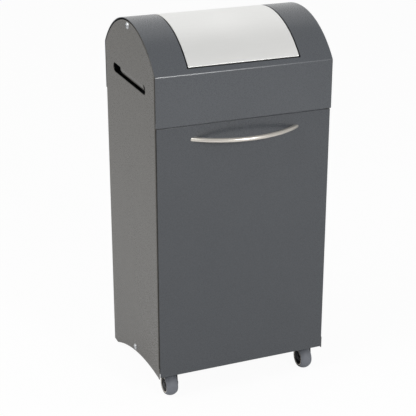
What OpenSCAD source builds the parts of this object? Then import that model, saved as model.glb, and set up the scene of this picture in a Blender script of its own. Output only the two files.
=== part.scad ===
// Floor-standing recycling bin of folded steel sheet, with a self-closing swing flap in
// a round hood, a drop-front door with a bow handle, a lift-out galvanised liner, two
// front castors and two rear feet cut from the side plates.
// X runs across the bin, Y from the door to the back, Z up from the floor.

/* [Body] */
// Width over the two side plates
body_w = 380; // [350:10:440]
// Depth over the front and rear aprons of the hood
body_d = 320; // [310:5:340]
// Height of the top of the hood above the floor
body_h = 790; // [740:10:900]
// Thickness of the body's steel sheet
sheet_t = 1.5; // [1.2:0.1:1.8]
// Gap between sheets that lie on each other
sheet_gap = 0.3; // [0.2:0.05:0.4]
// Width of the flange turned in round each side plate
flange_w = 15; // [12:1:16]
// Length of each rear foot along the side plate
foot_len = 26; // [20:1:34]
// Height of the highest point of the arch under a side plate
arch_top = 56; // [50:1:57]
// Distance of that highest point behind the face of the front apron
arch_back = 40; // [30:5:60]

/* [Hood] */
// Outside radius of the hood's round top
hood_r = 200; // [190:5:215]
// Height of the aprons below the crease
apron_h = 102; // [90:2:110]
// Distance of the hood's ends inside the outer faces of the side plates
hood_inset = 0.8; // [0.4:0.1:1.2]
// Height of the hem folded up inside the lower edge of each apron
hem_h = 12; // [8:1:16]

/* [Grip slots] */
// Length of the slot in each side plate
slot_l = 204; // [160:4:220]
// Height of the slot
slot_h = 20; // [16:1:26]
// Distance of the slot's centre line below the crease
slot_drop = 41; // [30:1:50]
// Outside radius of the finger lip rolled in along the slot's upper edge
lip_r = 9; // [6:0.5:11]
// Length of the finger lip
lip_l = 144; // [100:4:150]
// Distance of the lip's front end behind the slot's front end
lip_in = 12; // [10:1:20]

/* [Flap] */
// Width of the flap
flap_w = 236; // [200:4:260]
// Half of the angle that the flap takes up on the round top
flap_angle = 48.8; // [42:0.2:50]
// Gap round the flap
flap_gap = 2.6; // [1.5:0.1:3]
// Thickness of the flap's sheet
flap_t = 1.8; // [1.5:0.1:2]
// Depth of the lips turned in along the flap's front and rear edges
flap_lip = 12; // [8:1:16]
// Thickness of the two curved ribs under the flap
rib_t = 2; // [1.5:0.1:3]
// Depth of the ribs
rib_depth = 14; // [10:1:18]
// Radius of the rib's round boss at the pivot
rib_boss_r = 15; // [13:0.5:18]

/* [Tie rods] */
// Diameter of the upper tie rod, which the flap swings on
top_rod_d = 12; // [10:0.5:13]
// Depth of the upper tie rod's axis below the top of the hood
top_rod_drop = 13; // [12:0.5:16]
// Diameter of the lower tie rod
low_rod_d = 10; // [8:0.5:11]
// Height of the lower tie rod's axis above the floor
low_rod_z = 54; // [53:0.5:55]
// Diameter of the dome screws' heads
dome_d = 14.5; // [12:0.5:17]
// Height of the dome screws' heads
dome_h = 4.2; // [3:0.1:5]
// Thread diameter of the dome screws
dome_thread_d = 8; // [6:0.5:8]
// Length of the dome screws' threads inside the rods
dome_grip = 18; // [12:1:24]
// Depth of the rods' threaded bores past the ends of the screws
tap_extra = 4; // [2:1:8]
// Width of the hexagon socket in each dome head
dome_socket = 5; // [3:0.5:6]
// Depth of the hexagon socket
dome_socket_h = 2.1; // [1:0.1:2.8]
// Wall of the flap's bearing bushes
bush_wall = 2.5; // [2:0.1:3]
// Width of the bearing bushes
bush_w = 8; // [6:0.5:10]
// Wall of the collars that keep the flap in the middle of its rod
collar_wall = 3.5; // [2:0.1:4]
// Width of the collars
collar_w = 8; // [5:0.5:12]

/* [Door] */
// Distance of the door's side edges inside the outer faces of the side plates
door_inset = 2.1; // [2.1:0.1:2.6]
// Distance of the door's face behind the face of the front apron
door_setback = 1.5; // [1.2:0.1:2]
// Gap between the door and the front apron
door_gap = 1.5; // [1:0.1:3]
// Height of the door's lower edge above the floor
door_z = 59; // [58:0.5:61]
// Depth of the stiffening frame behind the door's face
frame_depth = 16; // [14:0.5:17]
// Distance of the stiffening frame inside the door's side edges
frame_inset = 16.5; // [16.5:0.5:22]
// Distance of the stiffening frame below the door's upper edge
frame_drop = 16; // [14:0.5:22]
// Width of the lips turned in at the back of the stiffening frame
frame_lip = 14; // [8:1:18]
// Height at which the lips start, above the hinge axis
frame_lip_start = 32; // [28:1:60]
// Height of the frame's lower end above the door's lower edge
frame_up = 1; // [0.5:0.5:2]
// Gap between the door's lower rail and the hinge brackets' feet
lower_rail_gap = 1; // [0.5:0.5:4]
// Height of the lip turned up along the lower rail's rear edge
lower_rail_lip = 3; // [2:0.5:4]
// Diameter of the door's hinge pins
hinge_pin_d = 6; // [5:0.5:7]
// Distance of the hinge axis behind the door's face
hinge_back = 8.5; // [8:0.5:9.5]
// Height of the hinge axis above the door's lower edge
hinge_up = 9; // [8:0.5:9.5]
// Thickness of the hinge brackets
bracket_t = 3; // [2:0.5:4]
// Length of the hinge brackets' feet on the floor pan
bracket_foot_l = 12.5; // [8:0.5:20]
// Width of the feet beside the brackets
bracket_foot_w = 5; // [3:0.5:8]
// Gap between the door's sheet and the round ends of the brackets
bracket_gap = 0.5; // [0.3:0.1:0.8]
// Height and overhang of the hinge pins' heads
pin_head = 1.5; // [1:0.1:1.8]
// Height of the front rail's face
rail_h = 44; // [36:1:50]
// Depth of the front rail's lower leg
rail_leg = 15; // [10:1:16]
// Gap between the door's stiffening frame and the front rail
rail_gap = 3.5; // [3:0.5:4]
// Length of each magnet
magnet_l = 40; // [20:2:60]
// Height of each magnet
magnet_h = 9; // [5:0.5:9]
// Depth of each magnet
magnet_t = 10; // [6:0.5:12]
// Distance of the magnets from the middle of the bin
magnet_x = 130; // [90:5:140]

/* [Handle] */
// Distance between the ends of the bow handle
handle_l = 220; // [160:5:260]
// Distance of the middle of the bow in front of the door
handle_bow = 36; // [28:1:50]
// Diameter of the handle's bar
handle_d = 9; // [7:0.5:12]
// Distance of the handle below the door's upper edge
handle_drop = 29; // [26:1:60]
// Thread diameter of the handle's screws
handle_screw_d = 4; // [3:0.5:4]
// Depth of the threads in the handle's ends
handle_grip = 3.5; // [3:0.5:5]
// Depth of the handle's bores past the ends of the screws
handle_tap = 0.5; // [0.3:0.1:1]
// Height of the screws' heads inside the door
handle_head_h = 2.4; // [1.5:0.1:3]
// Distance of the screws inside the handle's ends
handle_screw_in = 4; // [3:0.5:5]

/* [Floor and back] */
// Distance of the floor pan's front edge behind the hinge axis
pan_clear = 14; // [13.5:0.5:16]
// Height of the floor pan's flanges along its sides and back
pan_rim = 20; // [14:1:24]
// Height of the flange turned down at the floor pan's front edge
pan_lip = 5; // [3:0.5:5.5]
// Height of the back panel's lower edge above the floor
back_z = 48; // [40:1:52]
// Overlap of the back panel and the rear apron
back_overlap = 60; // [40:5:90]

/* [Liner] */
// Thickness of the liner's galvanised sheet
liner_t = 1; // [0.8:0.1:1.5]
// Gap between the liner and each of its guides
liner_gap = 1; // [0.5:0.1:2]
// Distance of the liner's sides inside the side plates' flanges
liner_side = 15.5; // [15.5:0.5:25]
// Gap between the liner and the door's stiffening frame
liner_front = 9; // [7:0.5:15]
// Gap between the liner and the floor pan's rear flange
liner_rear = 11; // [7:0.5:20]
// Distance of the liner's rim below the hood's lower edge
liner_drop = 33; // [32:1:60]
// Radius of the liner's upright corners
liner_corner = 18; // [8:1:30]
// Diameter of the rolled bead round the liner's rim
bead_d = 7; // [5:0.5:8]
// Height of the guides on the floor pan
guide_h = 12; // [8:1:16]
// Width of the guides' feet
guide_foot = 12; // [8:1:12]
// Distance of the guides' front ends behind the liner's front
guide_start = 10; // [5:1:30]
// Diameter of the bail's wire
bail_d = 6; // [4:0.5:6]
// Length of the bail's arms from the pivots
bail_l = 112; // [90:2:118]
// Bend radius of the bail's corners
bail_bend = 14; // [8:1:24]
// Depth of the bail's pivots below the liner's rim
bail_pivot_drop = 20; // [16:1:30]
// Radius of the ears that carry the bail
ear_r = 11; // [9:0.5:14]
// Thickness of the ears and of their pins' heads
ear_t = 1.5; // [1:0.1:2]
// Wall of the bail's eyes round the pins
eye_wall = 4; // [3:0.5:5]
// Gap between the resting bail and the liner's rim
bail_rest_gap = 1; // [0.8:0.1:2]

/* [Castors] */
// Diameter of the wheels
wheel_d = 50; // [46:1:51]
// Width of the tyres
tyre_w = 26; // [20:1:28]
// Height of the tyre's rubber over the hub
tyre_t = 7; // [5:0.5:9]
// Radius of the tyre's crown across its width
crown_r = 18; // [16:1:60]
// Distance of the wheels' middle inside the outer faces of the side plates
wheel_in = 32; // [32:1:50]
// Distance of the wheels' axis behind the face of the front apron
wheel_back = 30; // [28:1:34]
// Thickness of the brackets' steel
bracket_steel = 3; // [2:0.1:3.2]
// Gap between the tyre and the bracket's leg
leg_gap = 0.6; // [0.4:0.1:0.8]
// Length of the bracket's top plate
castor_l = 42; // [38:1:50]
// Distance of the leg's rear edge inside the rear end of the top plate
leg_cut = 8; // [4:1:14]
// Diameter of the wheels' axles
axle_d = 6; // [5:0.5:8]
// Radius of the bracket's leg round the axle
leg_end_r = 9; // [7:0.5:12]
// Height and overhang of the axles' riveted ends
rivet_head = 2; // [1.5:0.5:3]
// Distance of the hub's faces inside the tyre's faces
hub_in = 0.5; // [0.3:0.1:1]
// Depth of the dish in each side of the hub
hub_dish = 6; // [3:0.5:8]
// Width of the ring round each dish
hub_ring = 1.5; // [1:0.1:3]
// Wall of the hub round the axle
hub_wall = 5; // [3:0.5:6]
// Gap between the axle's head and the hub
head_gap = 0.3; // [0.2:0.1:0.6]
// Thread diameter of the castors' screws
castor_screw_d = 5; // [4:0.5:5]
// Diameter of the castor screws' heads
castor_head_d = 9; // [7:0.5:9]
// Height of the castor screws' heads
castor_head_h = 2.5; // [1.5:0.5:3]
// Distance of the castors' screws from the middle plane of the wheel
castor_screw_x = 8; // [7:0.5:8]
// Distance of the castors' screws inside the ends of the bracket's top plate
castor_screw_y = 7; // [6:0.5:10]

/* [Fits] */
// Radial clearance of running fits
run_fit = 0.05; // [0.02:0.01:0.1]
// Radial clearance of a screw in its hole
screw_fit = 0.2; // [0.1:0.05:0.4]
// Gap between the collars and the flap's bushes
collar_gap = 0.5; // [0.3:0.1:1]

/* [Hidden] */
round_fn = 96;
wire_fn = 48;
arc_fn = 240;
// Distance that a cutting shape runs past the surface that it cuts
cut = 1;

// Levels and places of the body
arc_z = body_h - hood_r;
crease_z = arc_z + sqrt(hood_r * hood_r - body_d * body_d / 4);
seam_z = crease_z - apron_h;
plate_y = body_d / 2 - door_setback - sheet_t - sheet_gap;
plate_r = hood_r - sheet_t - sheet_gap;
plate_in = body_w / 2 - sheet_t;
flange_in = body_w / 2 - flange_w;
arch_y = arch_back - body_d / 2;
arch_run = plate_y - foot_len - arch_y;
arch_r = (arch_run * arch_run + arch_top * arch_top) / (2 * arch_top);
slot_z = crease_z - slot_drop;
lip_y0 = lip_in - slot_l / 2;
low_pan_z = low_rod_z + low_rod_d / 2 + sheet_gap;
pan_top = low_pan_z + sheet_t;
hood_half = body_w / 2 - hood_inset;

// Levels and places of the door
door_half = body_w / 2 - door_inset;
door_y = door_setback - body_d / 2;
door_in_y = door_y + sheet_t;
door_top = seam_z - door_gap;
hinge_y = door_y + hinge_back;
hinge_z = door_z + hinge_up;
frame_half = door_half - frame_inset;
frame_y = door_in_y + frame_depth;
frame_top = door_top - frame_drop;
pan_y = hinge_y + pan_clear;
rail_z = frame_top + rail_gap;
frame_z = door_z + frame_up;
magnet_z = rail_z + sheet_t + sheet_gap;
bracket_r = hinge_back - sheet_t - bracket_gap;
bracket_y1 = pan_y + sheet_t + bracket_foot_l;
bracket_x = frame_half - sheet_t - sheet_gap - bracket_t;
back_y = plate_y - sheet_t - sheet_gap;
pan_back_y = back_y - sheet_t - sheet_gap;

// Levels and places of the handle and of the frame of reference
handle_z = door_top - handle_drop;
handle_r = (handle_l * handle_l / 4 + handle_bow * handle_bow) / (2 * handle_bow);
handle_reach = handle_bow + handle_d / 2 - door_y;
frame_shift = (handle_reach - body_d / 2) / 2;

// Levels and places of the flap
rod_z = body_h - top_rod_drop;
rod_arc_r = hood_r - top_rod_drop;
gap_angle = flap_gap / hood_r * 180 / PI;
flap_in_r = hood_r - flap_t;
rib_angle = flap_angle - 2 * flap_t / flap_in_r * 180 / PI;
rib_x = flap_w / 2 - rib_t - sheet_gap;
bush_r = top_rod_d / 2 + run_fit + bush_wall;

// Levels and places of the liner
liner_half = flange_in - liner_side;
liner_y0 = frame_y + liner_front;
liner_y1 = pan_back_y - sheet_t - liner_rear;
liner_mid = (liner_y0 + liner_y1) / 2;
liner_z = pan_top + sheet_gap;
rim_z = seam_z - liner_drop;
pivot_z = rim_z - bail_pivot_drop;
bail_x = liner_half + bead_d / 2 + sheet_gap + bail_d / 2 + 1;
bail_rest_z = rim_z + bail_d / 2 + bail_rest_gap;
bail_angle = asin((bail_rest_z - pivot_z) / bail_l);
eye_r = bail_d / 2 + eye_wall;
eye_w = bail_d + 1;
pivot_d = bail_d;

// Levels and places of the castors
wheel_x = body_w / 2 - wheel_in;
wheel_y = wheel_back - body_d / 2;
wheel_z = wheel_d / 2;
hub_r = wheel_d / 2 - tyre_t;
hub_boss_r = axle_d / 2 + hub_wall;
hub_half = tyre_w / 2 - hub_in;
leg_in = tyre_w / 2 + leg_gap;
leg_out = leg_in + bracket_steel;
castor_y0 = pan_y + sheet_t + sheet_gap;

// Colours
charcoal = [0.33, 0.34, 0.36];
warm_grey = [0.44, 0.43, 0.41];
satin_silver = [0.85, 0.85, 0.84];
satin_steel = [0.72, 0.70, 0.67];
bright_zinc = [0.80, 0.80, 0.78];
galvanised = [0.66, 0.69, 0.71];
tyre_grey = [0.43, 0.44, 0.47];
hub_grey = [0.25, 0.25, 0.26];
black_plastic = [0.10, 0.10, 0.11];

// Puts a piece into the frame whose origin is under the middle of the whole outline
module place() {
  translate([0, frame_shift, 0]) children();
}

// Extrudes an outline drawn in Y and Z, from x0 along +X
module along_x(x0, length) {
  translate([x0, 0, 0]) rotate([90, 0, 90]) linear_extrude(height = length) children();
}

// A round bar or bore along X
module bar_x(x0, length, radius, y, z) {
  translate([x0, y, z]) rotate([0, 90, 0]) cylinder(r = radius, h = length, $fn = round_fn);
}

// A box given by its lowest and highest corners
module block(low, high) {
  translate(low) cube(high - low);
}

// Draws children on both sides of the bin
module both_sides() {
  children();
  mirror([1, 0, 0]) children();
}

// Draws children at the back and at the front
module back_and_front() {
  children();
  mirror([0, 1, 0]) children();
}

// Side plate

// Outline of a side plate, with every edge moved in by inset
module side_outline(inset) {
  difference() {
    intersection() {
      translate([inset - plate_y, inset]) square([2 * (plate_y - inset), body_h]);
      union() {
        translate([0, arc_z]) circle(r = plate_r - inset, $fn = arc_fn);
        translate([-plate_y, 0]) square([2 * plate_y, arc_z]);
      }
    }
    translate([arch_y, arch_top - arch_r]) circle(r = arch_r + inset, $fn = 3 * arc_fn);
  }
}

module slot_outline() {
  square([slot_l - slot_h, slot_h], center = true);
  for (side = [-1, 1])
    translate([side * (slot_l - slot_h) / 2, 0]) circle(r = slot_h / 2, $fn = round_fn);
}

module screw_holes_outline() {
  for (z = [rod_z, low_rod_z])
    translate([0, z]) circle(r = dome_thread_d / 2 + screw_fit, $fn = round_fn);
}

// Quarter of a tube that carries on from the plate above the slot and turns in under it. Its
// root runs up inside the plate's own sheet
module finger_lip() {
  translate([body_w / 2 - lip_r, lip_y0, slot_z + slot_h / 2]) {
    intersection() {
      rotate([-90, 0, 0]) difference() {
        cylinder(r = lip_r, h = lip_l, $fn = round_fn);
        translate([0, 0, -cut]) cylinder(r = lip_r - sheet_t, h = lip_l + 2 * cut, $fn = round_fn);
      }
      block([0, -cut, -lip_r], [lip_r, lip_l + cut, 0]);
    }
    block([lip_r - sheet_t, 0, 0], [lip_r, lip_l, cut]);
  }
}

// One side plate, drawn on the +X side. Its flange is cut away in front, above the castor
module side_plate() {
  place() {
    along_x(plate_in, sheet_t) difference() {
      side_outline(0);
      translate([0, slot_z]) slot_outline();
      screw_holes_outline();
    }
    difference() {
      along_x(flange_in, flange_w) difference() {
        side_outline(0);
        side_outline(sheet_t);
      }
      block([flange_in - cut, -body_d / 2, 0], [plate_in, pan_y, pan_top + pan_rim]);
    }
    finger_lip();
  }
}

module side_plate_left() {
  color(warm_grey) mirror([1, 0, 0]) side_plate();
}

module side_plate_right() {
  color(warm_grey) side_plate();
}

// Hood

// Outline of the hood, with its skin moved in by inset
module hood_outline(inset) {
  half = body_d / 2 - inset;
  intersection() {
    translate([0, arc_z]) circle(r = hood_r - inset, $fn = arc_fn);
    translate([-half, seam_z]) square([2 * half, body_h - seam_z]);
  }
}

// Wedge from the centre of the round top outwards, to each side of the vertical
module wedge(half_angle) {
  reach = 2 * hood_r;
  translate([0, arc_z]) polygon([
    [0, 0],
    [reach * sin(half_angle), reach * cos(half_angle)],
    [-reach * sin(half_angle), reach * cos(half_angle)]
  ]);
}

module hood_shell() {
  opening = flap_w / 2 + flap_gap;
  color(charcoal) place() difference() {
    union() {
      along_x(-hood_half, 2 * hood_half) difference() {
        hood_outline(0);
        hood_outline(sheet_t);
      }
      back_and_front() block(
        [-hood_half, body_d / 2 - 2 * sheet_t, seam_z],
        [hood_half, body_d / 2 - sheet_t, seam_z + hem_h]
      );
    }
    along_x(-opening, 2 * opening) wedge(flap_angle + gap_angle);
  }
}

// Back, floor and front rail

module back_panel() {
  color(charcoal) place() block(
    [sheet_gap - plate_in, back_y - sheet_t, back_z],
    [plate_in - sheet_gap, back_y, seam_z + back_overlap]
  );
}

// Places of the four screws of the right castor, as [x, y]
function castor_screws_at() = [
  for (x = [-castor_screw_x, castor_screw_x], y = [castor_screw_y, castor_l - castor_screw_y])
    [wheel_x + x, castor_y0 + y]
];

module castor_screw_bores(z0, depth, extra) {
  both_sides() for (p = castor_screws_at())
    translate([p[0], p[1], z0])
      cylinder(r = castor_screw_d / 2 + extra, h = depth, $fn = wire_fn);
}

// Its front lip ends short of the side plates' flanges
module floor_pan() {
  half = plate_in - sheet_gap;
  lip_half = flange_in - sheet_gap;
  color(charcoal) place() difference() {
    union() {
      block([-half, pan_y, low_pan_z], [half, pan_back_y, pan_top]);
      block([-lip_half, pan_y, low_pan_z - pan_lip], [lip_half, pan_y + sheet_t, pan_top]);
      block([-half, pan_back_y - sheet_t, low_pan_z], [half, pan_back_y, pan_top + pan_rim]);
      both_sides()
        block([half - sheet_t, pan_y, low_pan_z], [half, pan_back_y, pan_top + pan_rim]);
    }
    castor_screw_bores(low_pan_z - cut, sheet_t + 2 * cut, screw_fit);
  }
}

module magnets(extra) {
  both_sides() block(
    [magnet_x - magnet_l / 2 - extra, -plate_y, magnet_z - extra],
    [magnet_x + magnet_l / 2 + extra, magnet_t - plate_y, magnet_z + magnet_h + extra]
  );
}

module front_rail() {
  half = flange_in - sheet_gap;
  color(charcoal) place() difference() {
    union() {
      block([-half, -plate_y, rail_z], [half, sheet_t - plate_y, rail_z + rail_h]);
      block([-half, -plate_y, rail_z], [half, rail_leg - plate_y, rail_z + sheet_t]);
    }
    translate([0, -cut, 0]) magnets(sheet_gap / 2);
  }
}

module magnet_catches() {
  color(black_plastic) place() magnets(0);
}

// Tie rods and their dome screws

module tie_rod(diameter, z) {
  place() difference() {
    bar_x(-plate_in, 2 * plate_in, diameter / 2, 0, z);
    both_sides() bar_x(
      plate_in - dome_grip - tap_extra, dome_grip + tap_extra + cut, dome_thread_d / 2, 0, z
    );
  }
}

module top_tie_rod() {
  color(bright_zinc) tie_rod(top_rod_d, rod_z);
}

module bottom_tie_rod() {
  color(bright_zinc) tie_rod(low_rod_d, low_rod_z);
}

module dome_screw() {
  ball_r = (dome_d * dome_d / 4 + dome_h * dome_h) / (2 * dome_h);
  shank = dome_grip + sheet_t;
  difference() {
    translate([body_w / 2, 0, 0]) rotate([0, 90, 0]) rotate_extrude($fn = round_fn) {
      intersection() {
        translate([0, dome_h - ball_r]) circle(r = ball_r, $fn = arc_fn);
        square([dome_d / 2, dome_h]);
      }
      translate([0, -shank]) square([dome_thread_d / 2 - run_fit, shank + cut]);
    }
    translate([body_w / 2 + dome_h - dome_socket_h, 0, 0]) rotate([0, 90, 0])
      cylinder(d = dome_socket / cos(30), h = dome_h, $fn = 6);
  }
}

module tie_rod_screws() {
  color(bright_zinc) place() both_sides() for (z = [rod_z, low_rod_z])
    translate([0, 0, z]) dome_screw();
}

module rod_collars() {
  x0 = rib_x + bush_w / 2 + rib_t / 2 + collar_gap;
  color(bright_zinc) place() both_sides() difference() {
    bar_x(x0, collar_w, top_rod_d / 2 + collar_wall, 0, rod_z);
    bar_x(x0 - cut, collar_w + 2 * cut, top_rod_d / 2, 0, rod_z);
  }
}

// Flap

module flap_skin() {
  color(satin_silver) place() {
    along_x(-flap_w / 2, flap_w) intersection() {
      difference() {
        translate([0, arc_z]) circle(r = hood_r, $fn = arc_fn);
        translate([0, arc_z]) circle(r = flap_in_r, $fn = arc_fn);
      }
      wedge(flap_angle);
    }
    for (side = [-1, 1])
      along_x(-flap_w / 2, flap_w) translate([0, arc_z]) rotate(side * flap_angle)
        translate([side > 0 ? 0 : -flap_t, hood_r - flap_lip])
          square([flap_t, flap_lip - flap_t / 2]);
  }
}

// One curved rib with its pivot boss, drawn on the +X side
module flap_rib() {
  place() along_x(rib_x, rib_t) difference() {
    intersection() {
      translate([0, arc_z]) circle(r = flap_in_r, $fn = arc_fn);
      wedge(rib_angle);
      union() {
        difference() {
          translate([0, arc_z]) circle(r = flap_in_r, $fn = arc_fn);
          translate([0, arc_z]) circle(r = flap_in_r - rib_depth, $fn = arc_fn);
        }
        translate([0, rod_z]) circle(r = rib_boss_r, $fn = round_fn);
      }
    }
    translate([0, rod_z]) circle(r = bush_r, $fn = round_fn);
  }
}

module flap_rib_left() {
  color(satin_silver) mirror([1, 0, 0]) flap_rib();
}

module flap_rib_right() {
  color(satin_silver) flap_rib();
}

module flap_bushes() {
  x0 = rib_x + rib_t / 2 - bush_w / 2;
  color(black_plastic) place() both_sides() difference() {
    bar_x(x0, bush_w, bush_r, 0, rod_z);
    bar_x(x0 - cut, bush_w + 2 * cut, top_rod_d / 2 + run_fit, 0, rod_z);
  }
}

// Door

module handle_screw_bores(y0, depth, extra) {
  both_sides() translate([handle_l / 2 - handle_screw_in, y0, handle_z]) rotate([-90, 0, 0])
    cylinder(r = handle_screw_d / 2 + extra, h = depth, $fn = wire_fn);
}

module door_panel() {
  color(charcoal) place() difference() {
    block([-door_half, door_y, door_z], [door_half, door_in_y, door_top]);
    handle_screw_bores(door_y - cut, sheet_t + 2 * cut, screw_fit);
  }
}

// Stiffening frame behind the door's face: two side walls that carry the hinge bores,
// an upper wall, and lips turned in at the back
module door_frame() {
  color(charcoal) place() difference() {
    union() {
      both_sides()
        block([frame_half - sheet_t, door_in_y, frame_z], [frame_half, frame_y, frame_top]);
      block([-frame_half, door_in_y, frame_top - sheet_t], [frame_half, frame_y, frame_top]);
      both_sides() block(
        [frame_half - frame_lip, frame_y - sheet_t, hinge_z + frame_lip_start],
        [frame_half, frame_y, frame_top]
      );
      block(
        [-frame_half, frame_y - sheet_t, frame_top - frame_lip],
        [frame_half, frame_y, frame_top]
      );
    }
    bar_x(-body_w / 2, body_w, hinge_pin_d / 2 + run_fit, hinge_y, hinge_z);
  }
}

// Angle along the door's lower edge, between the hinge brackets
module door_lower_rail() {
  half = bracket_x - bracket_foot_w - lower_rail_gap;
  top = frame_z + sheet_t;
  color(charcoal) place() {
    block([-half, door_in_y, frame_z], [half, frame_y, top]);
    block([-half, frame_y - sheet_t, frame_z], [half, frame_y, top + lower_rail_lip]);
  }
}

module door_handle() {
  color(satin_steel) place() difference() {
    intersection() {
      translate([0, door_y - handle_bow + handle_r, handle_z]) rotate([0, 0, 225])
        rotate_extrude(angle = 90, $fn = 2 * arc_fn)
          translate([handle_r, 0]) circle(d = handle_d, $fn = round_fn);
      block(
        [-handle_l, door_y - handle_bow - handle_d, handle_z - handle_d],
        [handle_l, door_y, handle_z + handle_d]
      );
    }
    handle_screw_bores(door_y - handle_grip - handle_tap, handle_grip + handle_tap + cut, 0);
  }
}

module handle_screws() {
  color(bright_zinc) place() {
    handle_screw_bores(door_y - handle_grip, handle_grip + sheet_t, -run_fit);
    handle_screw_bores(door_in_y, handle_head_h, handle_screw_d / 2);
  }
}

// Door hinge

// One bracket welded to the floor pan, drawn on the +X side. Its arm clears the open door
module hinge_bracket() {
  arm_z = hinge_z - bracket_r + sheet_gap;
  place() difference() {
    union() {
      bar_x(bracket_x, bracket_t, bracket_r, hinge_y, hinge_z);
      block(
        [bracket_x, hinge_y, arm_z],
        [bracket_x + bracket_t, bracket_y1, hinge_z + bracket_r]
      );
      block(
        [bracket_x - bracket_foot_w, pan_y + sheet_t, pan_top],
        [bracket_x + bracket_t, bracket_y1, pan_top + bracket_t]
      );
    }
    bar_x(0, body_w / 2, hinge_pin_d / 2, hinge_y, hinge_z);
  }
}

module hinge_bracket_left() {
  color(bright_zinc) mirror([1, 0, 0]) hinge_bracket();
}

module hinge_bracket_right() {
  color(bright_zinc) hinge_bracket();
}

module hinge_pins() {
  head_x = frame_half + sheet_gap;
  color(bright_zinc) place() both_sides() {
    bar_x(bracket_x, head_x - bracket_x, hinge_pin_d / 2, hinge_y, hinge_z);
    bar_x(head_x, pin_head, hinge_pin_d / 2 + pin_head, hinge_y, hinge_z);
  }
}

// Liner

// Outline of the liner in X and Y, moved out by grow
module liner_outline(grow) {
  half = liner_half + grow;
  y0 = liner_y0 - grow;
  y1 = liner_y1 + grow;
  corner = liner_corner + grow;
  translate([-half + corner, y0]) square([2 * (half - corner), y1 - y0]);
  translate([-half, y0 + corner]) square([2 * half, y1 - y0 - 2 * corner]);
  for (x = [corner - half, half - corner], y = [y0 + corner, y1 - corner])
    translate([x, y]) circle(r = corner, $fn = round_fn);
}

module liner() {
  color(galvanised) place() difference() {
    translate([0, 0, liner_z]) linear_extrude(height = rim_z - bead_d - liner_z) liner_outline(0);
    translate([0, 0, liner_z + liner_t]) linear_extrude(height = rim_z) liner_outline(-liner_t);
  }
}

// Rolled bead round the mouth, with a flat seat on the liner's wall
module liner_rim() {
  half = liner_half - liner_corner;
  depth = liner_y1 - liner_y0 - 2 * liner_corner;
  z = rim_z - bead_d / 2;
  r = bead_d / 2;
  color(galvanised) place() translate([0, liner_mid, z]) {
    both_sides() translate([liner_half, -depth / 2, 0]) rotate([-90, 0, 0])
      cylinder(r = r, h = depth, $fn = wire_fn);
    back_and_front() {
      bar_x(-half, 2 * half, r, depth / 2 + liner_corner, 0);
      both_sides() translate([half, depth / 2, 0]) rotate_extrude(angle = 90, $fn = round_fn)
        translate([liner_corner, 0]) circle(r = r, $fn = wire_fn);
    }
  }
}

module liner_guides() {
  x0 = liner_half + liner_gap;
  y0 = liner_y0 + guide_start;
  color(galvanised) place() both_sides() {
    block([x0, y0, pan_top], [x0 + sheet_t, liner_y1, pan_top + guide_h]);
    block([x0, y0, pan_top], [x0 + guide_foot, liner_y1, pan_top + sheet_t]);
  }
}

// Ears on the liner's sides with the pins that the bail turns on
module bail_ears() {
  pin_end = bail_x + eye_w / 2 + sheet_gap;
  color(galvanised) place() both_sides() {
    bar_x(liner_half, ear_t, ear_r, liner_mid, pivot_z);
    bar_x(liner_half, pin_end - liner_half, pivot_d / 2, liner_mid, pivot_z);
    bar_x(pin_end, ear_t, pivot_d / 2 + ear_t, liner_mid, pivot_z);
  }
}

module liner_bail() {
  r = bail_d / 2;
  arm_y0 = eye_r - eye_wall / 2;
  color(bright_zinc) place() translate([0, liner_mid, pivot_z]) rotate([bail_angle, 0, 0]) {
    both_sides() difference() {
      union() {
        bar_x(bail_x - eye_w / 2, eye_w, eye_r, 0, 0);
        translate([bail_x, arm_y0, 0]) rotate([-90, 0, 0])
          cylinder(r = r, h = bail_l - bail_bend - arm_y0, $fn = wire_fn);
      }
      bar_x(bail_x - eye_w, 2 * eye_w, pivot_d / 2 + run_fit, 0, 0);
    }
    both_sides() translate([bail_x - bail_bend, bail_l - bail_bend, 0])
      rotate_extrude(angle = 90, $fn = round_fn)
        translate([bail_bend, 0]) circle(r = r, $fn = wire_fn);
    bar_x(bail_bend - bail_x, 2 * (bail_x - bail_bend), r, bail_l, 0);
  }
}

// Castors. Both are the same part, fitted the same way round, with the leg on the +X side

// Draws a piece of the right castor at the place of the left one
module at_left_castor() {
  translate([-2 * wheel_x, 0, 0]) children();
}

// One bracket of bent steel. Its leg runs down behind the pan's lip
module castor_bracket() {
  shoulder = leg_end_r - cut;
  top = low_pan_z - bracket_steel;
  place() difference() {
    union() {
      block([wheel_x - leg_out, castor_y0, top], [wheel_x + leg_out, castor_y0 + castor_l, low_pan_z]);
      along_x(wheel_x + leg_in, bracket_steel) {
        polygon([
          [castor_y0, low_pan_z],
          [castor_y0 + castor_l - leg_cut, low_pan_z],
          [wheel_y + shoulder, wheel_z],
          [wheel_y - shoulder, wheel_z],
          [castor_y0, low_pan_z - pan_lip - sheet_gap]
        ]);
        translate([wheel_y, wheel_z]) circle(r = leg_end_r, $fn = round_fn);
      }
    }
    bar_x(0, body_w / 2, axle_d / 2, wheel_y, wheel_z);
    castor_screw_bores(top - cut, bracket_steel + 2 * cut, screw_fit);
  }
}

module castor_bracket_left() {
  color(black_plastic) at_left_castor() castor_bracket();
}

module castor_bracket_right() {
  color(black_plastic) castor_bracket();
}

module castor_screws() {
  head_z = low_pan_z - bracket_steel - castor_head_h;
  color(bright_zinc) place() {
    castor_screw_bores(head_z, pan_top - head_z, 0);
    castor_screw_bores(head_z, castor_head_h, (castor_head_d - castor_screw_d) / 2);
  }
}

// One axle, riveted outside the leg, with its other head inside the hub's dish
module castor_axle() {
  x0 = wheel_x - hub_half;
  x1 = wheel_x + leg_out;
  place() {
    bar_x(x0, x1 - x0, axle_d / 2, wheel_y, wheel_z);
    for (x = [x0, x1])
      bar_x(x, rivet_head, axle_d / 2 + rivet_head, wheel_y, wheel_z);
  }
}

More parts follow.
